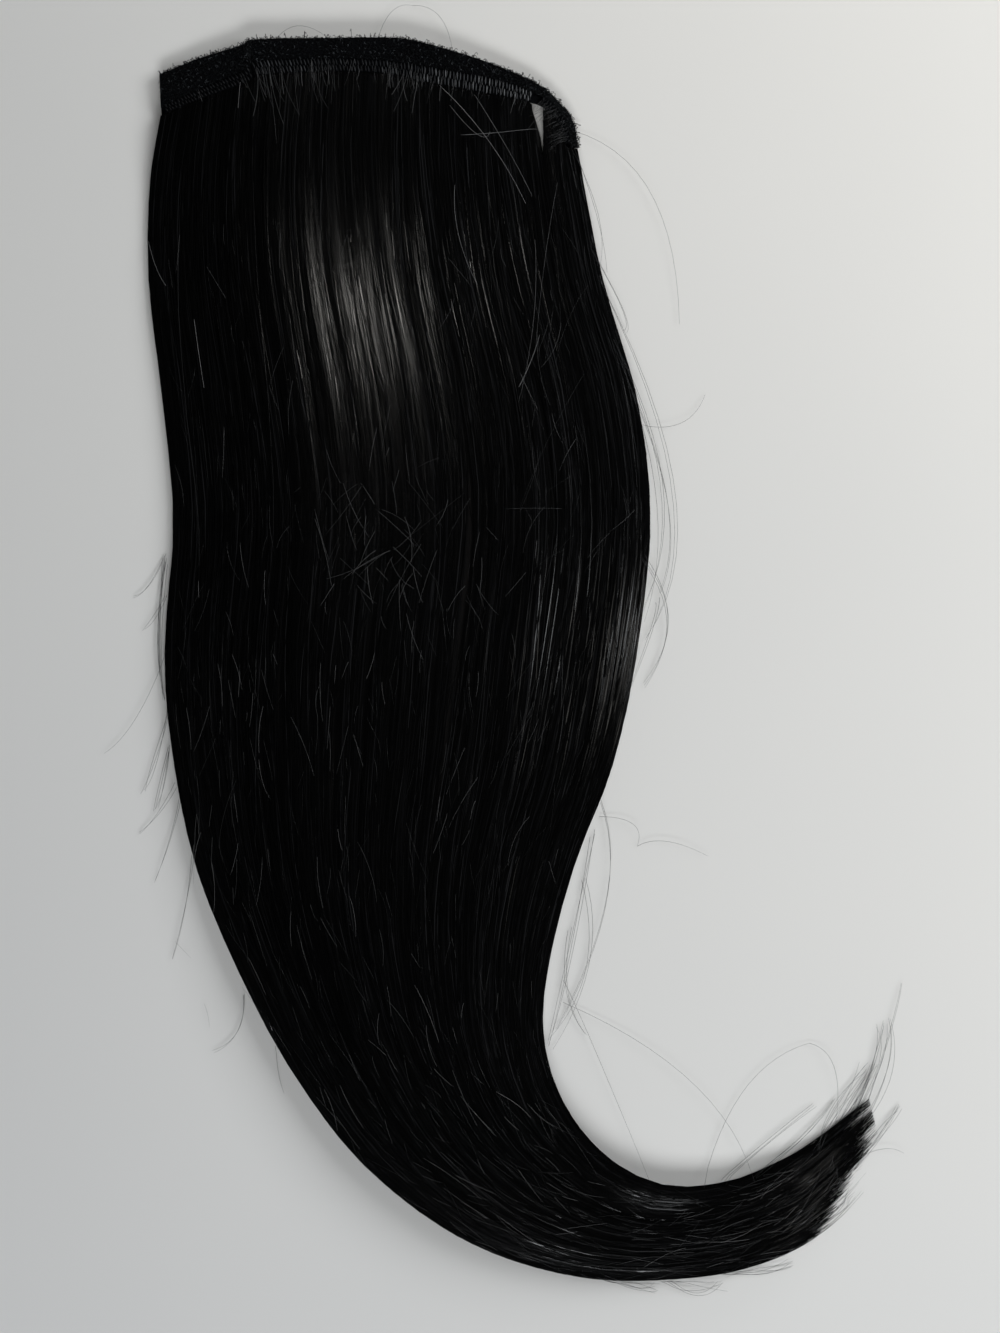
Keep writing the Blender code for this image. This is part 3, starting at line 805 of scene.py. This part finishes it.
def facet_turns(random, place, along, clump, share):
    """How far the upper facet of each strand is turned about it, in radians, which decides where it shines.

    A fan over the width less the slope of the locks is held between two limits, which open in the spots with
    streaks of light. Added are the strand's own turn, larger in some spots and at the tail, a turn of its
    clump, opposite turns beside the parting, and a small waver."""
    inner_edge, inner_bend, outer_bend, sheen = (spot_at(place, along, *spot[1:]) for spot in SPOTS)
    most = 0.10 + 0.20 * inner_edge + 0.75 * inner_bend
    late = smooth_step((along - 0.5) / 0.15)
    least = -0.26 + late * (0.20 + 0.08 * (1 - smooth_step(place / 0.25))) - 0.05 * outer_bend
    fan = FAN * (place - 0.46) * (1 - 0.8 * smooth_step((along - 0.45) / 0.25))
    tilt = np.clip(fan - cross_slope(place, along) + 0.60 * inner_bend, least, most)
    mixed = 1 + 1.4 * sheen + 1.2 * inner_bend + 1.8 * smooth_step((along - 0.86) / 0.06)
    own_turn = np.clip(random.standard_t(4, len(place)) * 0.042, -0.13, 0.13)[:, None] * mixed
    lock_turn = slow_waves(seeded(6), CLUMPS, share, 1.2)[clump] * 0.022
    off = place - PARTING_ACROSS
    wedge = np.exp(-((off / (0.02 + 0.05 * np.clip(1 - along / 0.12, 0, 1))) ** 2))
    parted = 0.2 * np.tanh(off / 0.008) * wedge * smooth_step((0.135 - along) / 0.03)
    return tilt + own_turn + lock_turn + parted + slow_waves(random, len(place), share, 5.0) * 0.02


class HAIRPIECE_OT_strands(bpy.types.Operator):
    """Lays the strands in layers over the bodies of hair, in clumps that narrow towards the tail"""

    bl_idname = "hairpiece.strands"
    bl_label = "Strands"

    def execute(self, context):
        sizes = context.scene.hairpiece_sizes
        # Drawn some times wider than a real strand, so that the layers cover with far fewer of them
        stops = ((0.0, "#010101"), (0.70, "#030303"), (0.93, "#0a0a0b"), (1.0, "#1e1e1f"))
        glossy = strand_material("black_hair_strand", stops, 0.13, 0.08)
        share = np.linspace(0, 1, 39)
        for layer, (name, count, lift, half, wander, shortest) in enumerate(LAYERS):
            random = seeded(40 + layer)
            place, along, end, clump = strand_courses(random, count, wander, shortest, share)
            height = strand_heights(random, lift, place, along, end, clump, share)
            thick = half * MM * sizes.strand_scale * random.uniform(0.75, 1.2, (count, 1))
            thick = thick * (1 - 0.70 * smooth_step((share - 0.80) / 0.20))
            thick = thick * (0.6 + 0.4 * smooth_step(share / 0.04))
            paths = at_height(fall_point(place, along), height)
            roll = facet_turns(random, place, along, clump, share)
            made = tubes(name, paths, thick, random.random(count), flat=0.42, roll=roll, sharp=True)
            finish_piece(made, glossy, "hair")
        return {"FINISHED"}


class HAIRPIECE_OT_band(bpy.types.Operator):
    """Builds the tape, its pile of loops and the loose fibres along its edges"""

    bl_idname = "hairpiece.band"
    bl_label = "Loop tape"

    def execute(self, context):
        sizes = context.scene.hairpiece_sizes
        last = len(TAPE) - 1
        places = np.linspace(0, last, 133)
        outer, foot, lower, top, drop = tape_at(places)
        inward = unit(foot - outer)
        # The ground lies a little under the loops' tips, and its outer edge is rounded
        under = 0.0002
        made = sweep_solid(
            "tape_ground",
            (outer, top - drop - TAPE_THICKNESS),
            (outer, top - drop - 0.0006),
            (outer + inward * 0.0005, top - drop * 0.9 - under),
            (foot, top - under),
            (foot, top - TAPE_STEP),
            (lower, top - TAPE_STEP),
            (lower, top - TAPE_THICKNESS),
        )
        finish_piece(made, felt_material("tape_weave"), "loop_tape", "loop_band")

        random = seeded(3)
        stops = ((0.0, "#020203"), (0.6, "#060708"), (0.9, "#1e2021"), (1.0, "#585b5e"))
        pile = strand_material("loop_pile", stops, 0.6, 0.2, 0.1)
        self.add_pile(random, pile, sizes, last)
        self.add_fringe(random, pile, last)
        return {"FINISHED"}

    def add_pile(self, random, pile, sizes, last):
        """Loops that stand on the tape, each an arch of its own heading, width, height and lean."""
        count = sizes.pile_count
        across, along = random.random(count), random.random(count) * last
        outer, foot, _, top, drop = tape_at(along)
        base = at_height(outer + (foot - outer) * across[:, None], top - drop * (1 - across) - 0.0003)
        heading = random.random(count) * 2 * np.pi
        forward = np.stack([np.cos(heading), np.sin(heading)], axis=1)
        lean = at_height(quarter_turn(forward), 0.0) * random.normal(0, 0.5, (count, 1))
        turn = np.linspace(-0.15, 1.1, 6) * np.pi
        width = random.uniform(0.25, 0.55, (count, 1, 1)) * MM
        tall = random.uniform(0.5, 1.0, (count, 1, 1)) * sizes.pile_height
        arch = (width * np.cos(turn)[:, None], tall * np.maximum(np.sin(turn), -0.2)[:, None])
        paths = curves(base, (at_height(forward, 0.0), arch[0]), (UP + lean, arch[1]))
        # The rings are set up from a direction that no arch runs along
        slanted = np.array([0.31, 0.17, 0.93])
        made = tubes("loop_pile", paths, 0.07 * MM, random.random(count), lean=slanted)
        finish_piece(made, pile, "loop_tape")

    def add_fringe(self, random, pile, last):
        """Fibres that stand out of the tape's outer edge and curve up or down."""
        count = 900
        along = random.random(count) * last
        outer, foot, _, top, drop = tape_at(along)
        away = unit(outer - foot)
        base = at_height(outer - away * 0.0004, top - drop - 0.0004)
        beside = at_height(quarter_turn(away), 0.0)
        away = at_height(away, 0.0)
        share = np.linspace(0, 1, 6)[:, None]
        far = random.gamma(2.0, 0.35, (count, 1, 1)) * MM
        swing = random.normal(0, 0.7, (count, 1, 1)) * MM
        rise = random.uniform(-0.9, 0.9, (count, 1, 1)) * MM
        paths = curves(base, (away, far * np.sin(share * np.pi * 0.75)), (beside, swing * share))
        paths = paths + UP * rise * np.sin(share * np.pi * 0.8)
        made = tubes("tape_fringe", paths, 0.10 * MM, random.random(count) * 0.8)
        finish_piece(made, pile, "loop_tape")


class HAIRPIECE_OT_seams(bpy.types.Operator):
    """Builds the sewn tracks, their stitches in two tiers and the short hairs that stand out of them"""

    bl_idname = "hairpiece.seams"
    bl_label = "Sewn tracks"

    def execute(self, context):
        sizes = context.scene.hairpiece_sizes
        random = seeded(5)
        start, end, tone = self.add_tracks(random)
        self.add_stitches(random, sizes, start, end, tone)
        self.add_return_hairs(random)
        return {"FINISHED"}

    def add_tracks(self, random):
        """The strips on the tape's ledge. Gives the starts, ends and tones of their stitches."""
        ground = felt_material("track_ground")
        stitches = []
        for name, (first, last) in SEAMS.items():
            fine = np.linspace(first, last, 400)
            path = tape_at(fine)[2]
            length = np.concatenate([[0], np.cumsum(np.linalg.norm(np.diff(path, axis=0), axis=1))])
            ribs = int(length[-1] / RIB_PITCH)
            places = np.interp(np.linspace(0, length[-1], 2 * ribs + 1), length, fine)
            _, foot, lower, top, _ = tape_at(places)
            # Two tiers with a groove between them
            floor = top - TAPE_STEP + 0.0002
            crest = top + SEAM_RISE * 0.35
            near = foot + (lower - foot) * 0.06
            made = sweep_solid(
                name + "_track",
                (near, floor),
                (near, crest - 0.0002),
                (near * 0.75 + lower * 0.25, crest),
                ((near + lower) / 2, crest - 0.0004),
                (near * 0.25 + lower * 0.75, crest),
                (lower, crest - 0.0002),
                (lower, floor),
            )
            finish_piece(made, ground, "sewn_track", name)
            ticks = np.arange(1, 2 * ribs, 2)
            slant = (lower[ticks + 1] - lower[ticks - 1]) * 0.25
            side = foot[ticks]
            across = lower[ticks] - side
            # Stitch tones with painted sheen: dark at the left and at the curled end, brighter to the right
            # on the middle track
            stitch_painted_sheen = 0.35 + 0.5 * smooth_step((side[:, 0] + 0.06) / 0.07)
            stitch_painted_sheen = {"weft_seam_left": -0.1, "weft_seam_end": 0.1}.get(name, stitch_painted_sheen)
            # One slanted stitch on each tier at every tick
            for begin, stop in ((0.04, 0.50), (0.52, 0.98)):
                start = at_height(side + across * begin - slant, top[ticks] + 0.0004)
                end = at_height(side + across * stop + slant, top[ticks] + 0.0003)
                tone = np.clip(stitch_painted_sheen + random.normal(0, 0.18, len(ticks)), 0, 1)
                stitches.append((start, end, tone))
        return [np.concatenate(part) for part in zip(*stitches)]

    def add_stitches(self, random, sizes, start, end, tone):
        """Stitches from start to end, thicker and higher in the middle."""
        # The pale stops are painted sheen of the hair that folds over the stitches
        stops = ((0.0, "#040405"), (0.4, "#1c1d1f"), (0.85, "#48494b"), (1.0, "#6c6d6e"))
        thread = strand_material("sewing_thread_painted_sheen", stops, 0.5, 0.2, 0.2)
        share = np.linspace(0, 1, 6)[:, None]
        jitter = random.normal(0, 0.00012, (len(start), 1, 3))
        paths = start[:, None] * (1 - share) + end[:, None] * share + jitter
        paths = paths + UP * 0.00055 * np.sin(np.pi * share)
        thick = sizes.stitch_radius * (0.55 + 0.45 * np.sin(np.pi * share[:, 0]))
        made = tubes("seam_stitches", paths, thick, tone, sides=6)
        finish_piece(made, thread, "sewn_track")

    def add_return_hairs(self, random):
        """Short hairs that stand out of the tracks and lie down on the hair below."""
        place = np.concatenate([random.uniform(first, last, count) for first, last, count, _ in RETURNS])
        _, foot, lower, top, _ = tape_at(place)
        down = unit(lower - foot)
        beside = quarter_turn(down)
        shape = 2.5
        sizes = [random.gamma(shape, mean / shape, (count, 1, 1)) for _, _, count, mean in RETURNS]
        long = np.concatenate(sizes) * MM
        swing = random.normal(0.03, 0.16, (len(place), 1, 1)) * long
        share = np.linspace(0, 1, 9)[:, None]
        root = foot + (lower - foot) * random.random((len(place), 1))
        flat = curves(root, (down, long * share), (beside, swing * share**2))
        rise = random.uniform(0.5, 1.8, (len(place), 1)) * MM * np.sin(np.pi * 0.85 * share[:, 0])
        over = height_map()
        height = np.maximum(over(flat), (top + 0.0006)[:, None]) + rise + 0.0003
        # Their pale tones are painted sheen; those of the curled end are darker
        tone = random.random(len(place)) ** 1.5 * np.where(place > 8.2, 0.4, 0.8)
        made = tubes("return_hairs", at_height(flat, height), 0.045 * MM, tone)
        finish_piece(made, painted_sheen_hair_material(), "hair")


class HAIRPIECE_OT_strays(bpy.types.Operator):
    """Adds the short crossing hairs on top and the loose hairs that leave the outline"""

    bl_idname = "hairpiece.strays"
    bl_label = "Stray hairs"

    def execute(self, context):
        random = seeded(11)
        over = height_map()
        self.add_strays(random, over)
        self.add_flyaways(random, over)
        return {"FINISHED"}

    def add_strays(self, random, over):
        """The crossing hairs of STRAYS, and the long ones of ARCS, each a parabola through three places."""
        share = np.linspace(0, 1, 14)
        rows = []
        for x, y, wide, tall, turn, fan, count, length, bend, lift in STRAYS:
            spots = [random.normal(x, wide / 2, count), random.normal(y, tall / 2, count)]
            place = plan(np.stack(spots, axis=1))
            heading = np.radians(turn + random.normal(0, fan, count))[:, None]
            rows.append(loose_lines(random, over, place, heading, length, bend, lift, share))
        loose = len(np.concatenate(rows))
        groups = np.repeat(ARCS, ARCS[:, 7].astype(int), axis=0)
        along = share[:, None]
        count = len(groups)
        spread = groups[:, 8:9] * MM
        first, middle, last = (
            (plan(groups[:, k : k + 2] / 1000) + random.normal(0, 1, (count, 2)) * spread)[:, None]
            for k in (0, 2, 4)
        )
        line = (
            first * (1 - along) * (1 - 2 * along)
            + middle * 4 * along * (1 - along)
            + last * along * (2 * along - 1)
        )
        rise = groups[:, 6:7] * MM * np.sin(np.pi * (0.1 + 0.8 * share)) + 0.0004
        rows.append(at_height(line, over(line) + rise))
        paths = np.concatenate(rows)
        # Tones in the pale loose-hair material, that is painted sheen: random for the crossing hairs, from
        # ARCS for the long ones
        tone = np.concatenate([random.random(loose) * 0.85, groups[:, 9] + random.uniform(0, 0.1, count)])
        thick = np.where(np.arange(len(paths)) < loose, 0.038, 0.065)[:, None] * MM * (1 - 0.4 * share**2)
        made = tubes("stray_hairs", paths, thick, tone)
        finish_piece(made, painted_sheen_hair_material(), "hair")

    def add_flyaways(self, random, over):
        """Fine short hairs all over the hair, which lie within some degrees of its direction."""
        count = 800
        mean_length, bend, lift = 11, 14, 0.4
        across = random.uniform(0.02, 0.98, count)
        along = random.uniform(0.10, 0.93, count)
        place = fall_point(across, along)
        flow = fall_point(across, along + 0.01) - place
        heading = np.arctan2(flow[:, 0], -flow[:, 1]) + np.radians(random.normal(0, 13, count))
        share = np.linspace(0, 1, 8)
        paths = loose_lines(random, over, place, heading[:, None], mean_length, bend, lift, share)
        thick = 0.030 * MM * (1 - 0.4 * share**2)
        # Their random tones in the pale loose-hair material are painted sheen, most of them low
        made = tubes("flyaway_hairs", paths, thick, random.random(count) ** 3.0)
        finish_piece(made, painted_sheen_hair_material(), "hair")


def loose_lines(random, over, place, heading, length, bend, lift, share):
    """Short bent hairs about their places: the heading turns evenly along each, and its middle stands off
    the locks. Length and lift are in millimetres, bend in degrees."""
    count, steps = len(place), len(share)
    angle = heading + np.radians(random.normal(0, bend, (count, 1))) * (share - 0.5)
    size = random.gamma(5, length / 5, (count, 1)) * MM
    step = np.stack([np.sin(angle), -np.cos(angle)], axis=-1) * (size / (steps - 1))[..., None]
    line = np.cumsum(step, axis=1)
    line = place[:, None] + line - line[:, steps // 2][:, None]
    rise = lift * MM * random.uniform(0.4, 1.2, (count, 1)) * np.sin(np.pi * share) + 0.0007
    return at_height(line, over(line) + rise)


class HAIRPIECE_OT_stage(bpy.types.Operator):
    """Lays the pale table, hangs the lights and sets the camera straight above"""

    bl_idname = "hairpiece.stage"
    bl_label = "Table, lights and camera"

    def execute(self, context):
        shown = [self.table(), *self.lights(context), self.camera(context)]
        return {"FINISHED"}

    def table(self):
        """A flat square, a little under the part so that the two never share a plane."""
        half = 6.0
        below = 0.0002
        corners = np.array([[-half, -half, 0], [half, -half, 0], [half, half, 0], [-half, half, 0]])
        made = mesh_object("table_top", corners - (0, 0, below), np.arange(4), np.array([0]))
        made.data.materials.append(table_material())
        return made

    def lights(self, context):
        """Two small lamps for the streaks, four broad ones around, all aimed at the middle, and a dim room.
        Each row has a name, place, width and height, watts and colour."""
        colours = context.scene.hairpiece_colours
        lights = (
            ("key", (-0.177, 0.408, 1.2), (0.09, 0.06), 0.30, colours.key_light),
            ("edge", (0.66, -0.07, 1.0), (0.25, 0.10), 0.16, colours.key_light),
            ("right", (1.25, 0.45, 0.95), (1.1, 0.8), 19.0, colours.fill_light),
            ("front", (0.15, -1.50, 1.20), (1.3, 0.5), 24.0, colours.fill_light),
            ("back", (0.3, 1.5, 0.60), (1.2, 0.6), 4.5, colours.fill_light),
            ("left", (-1.5, 0.0, 0.60), (1.2, 0.6), 1.5, colours.fill_light),
        )
        shown = []
        for name, place, size, watts, colour in lights:
            light = bpy.data.lights.new(name, "AREA")
            light.shape = "RECTANGLE"
            light.size, light.size_y = size
            light.energy = watts
            light.color = colour
            lamp = bpy.data.objects.new(name, light)
            lamp.location = place
            lamp.rotation_mode = "QUATERNION"
            lamp.rotation_quaternion = (-lamp.location).to_track_quat("-Z", "Y")
            context.scene.collection.objects.link(lamp)
            shown.append(lamp)
        world = bpy.data.worlds.new("soft_room")
        world.use_nodes = True
        sky = {"Color": (0.93, 0.95, 1.0, 1.0), "Strength": 0.016}
        set_inputs(world.node_tree.nodes["Background"], sky)
        context.scene.world = world
        return shown

    def camera(self, context):
        """Straight above the photo's middle, with the lens that shows the photo's height from there."""
        far = 0.85
        seen = PHOTO_PIXELS[1] * PLAN_LENGTH / PLAN_PIXELS[1]
        camera = bpy.data.cameras.new("camera")
        camera.lens = camera.sensor_width / 2 / (seen / 2 / far)
        camera.dof.use_dof = False
        eye = bpy.data.objects.new("camera", camera)
        middle = plan([(PHOTO_PIXELS[k] / 2 - PLAN_CORNER[k]) / PLAN_PIXELS[k] for k in (0, 1)])
        eye.location = (middle[0], middle[1], far)
        context.scene.collection.objects.link(eye)
        context.scene.camera = eye
        context.scene.view_settings.view_transform = "Standard"
        return eye


class HAIRPIECE_PT_panel(bpy.types.Panel):
    """Buttons and settings of the hairpiece"""

    bl_label = "Ponytail hairpiece"
    bl_idname = "HAIRPIECE_PT_panel"
    bl_space_type = "VIEW_3D"
    bl_region_type = "UI"
    bl_category = "Hairpiece"

    def draw(self, context):
        layout = self.layout
        for group in (context.scene.hairpiece_sizes, context.scene.hairpiece_colours):
            for name in group.__annotations__:
                layout.prop(group, name)
        for operator in OPERATORS:
            layout.operator(operator.bl_idname)


OPERATORS = (
    HAIRPIECE_OT_bodies,
    HAIRPIECE_OT_strands,
    HAIRPIECE_OT_band,
    HAIRPIECE_OT_seams,
    HAIRPIECE_OT_strays,
    HAIRPIECE_OT_stage,
)
CLASSES = (HairpieceSizes, HairpieceColours, *OPERATORS, HAIRPIECE_PT_panel)


def register():
    """Adds the classes, and the two groups of settings to the scene."""
    for kind in CLASSES:
        bpy.utils.register_class(kind)
    bpy.types.Scene.hairpiece_sizes = PointerProperty(type=HairpieceSizes)
    bpy.types.Scene.hairpiece_colours = PointerProperty(type=HairpieceColours)


def unregister():
    """Takes away what register adds."""
    del bpy.types.Scene.hairpiece_colours
    del bpy.types.Scene.hairpiece_sizes
    for kind in reversed(CLASSES):
        bpy.utils.unregister_class(kind)


def main():
    """Registers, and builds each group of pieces."""
    register()
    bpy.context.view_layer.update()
    bpy.ops.hairpiece.bodies()
    bpy.ops.hairpiece.strands()
    bpy.ops.hairpiece.band()
    bpy.ops.hairpiece.seams()
    bpy.ops.hairpiece.strays()
    bpy.ops.hairpiece.stage()


if __name__ == "__main__":
    main()
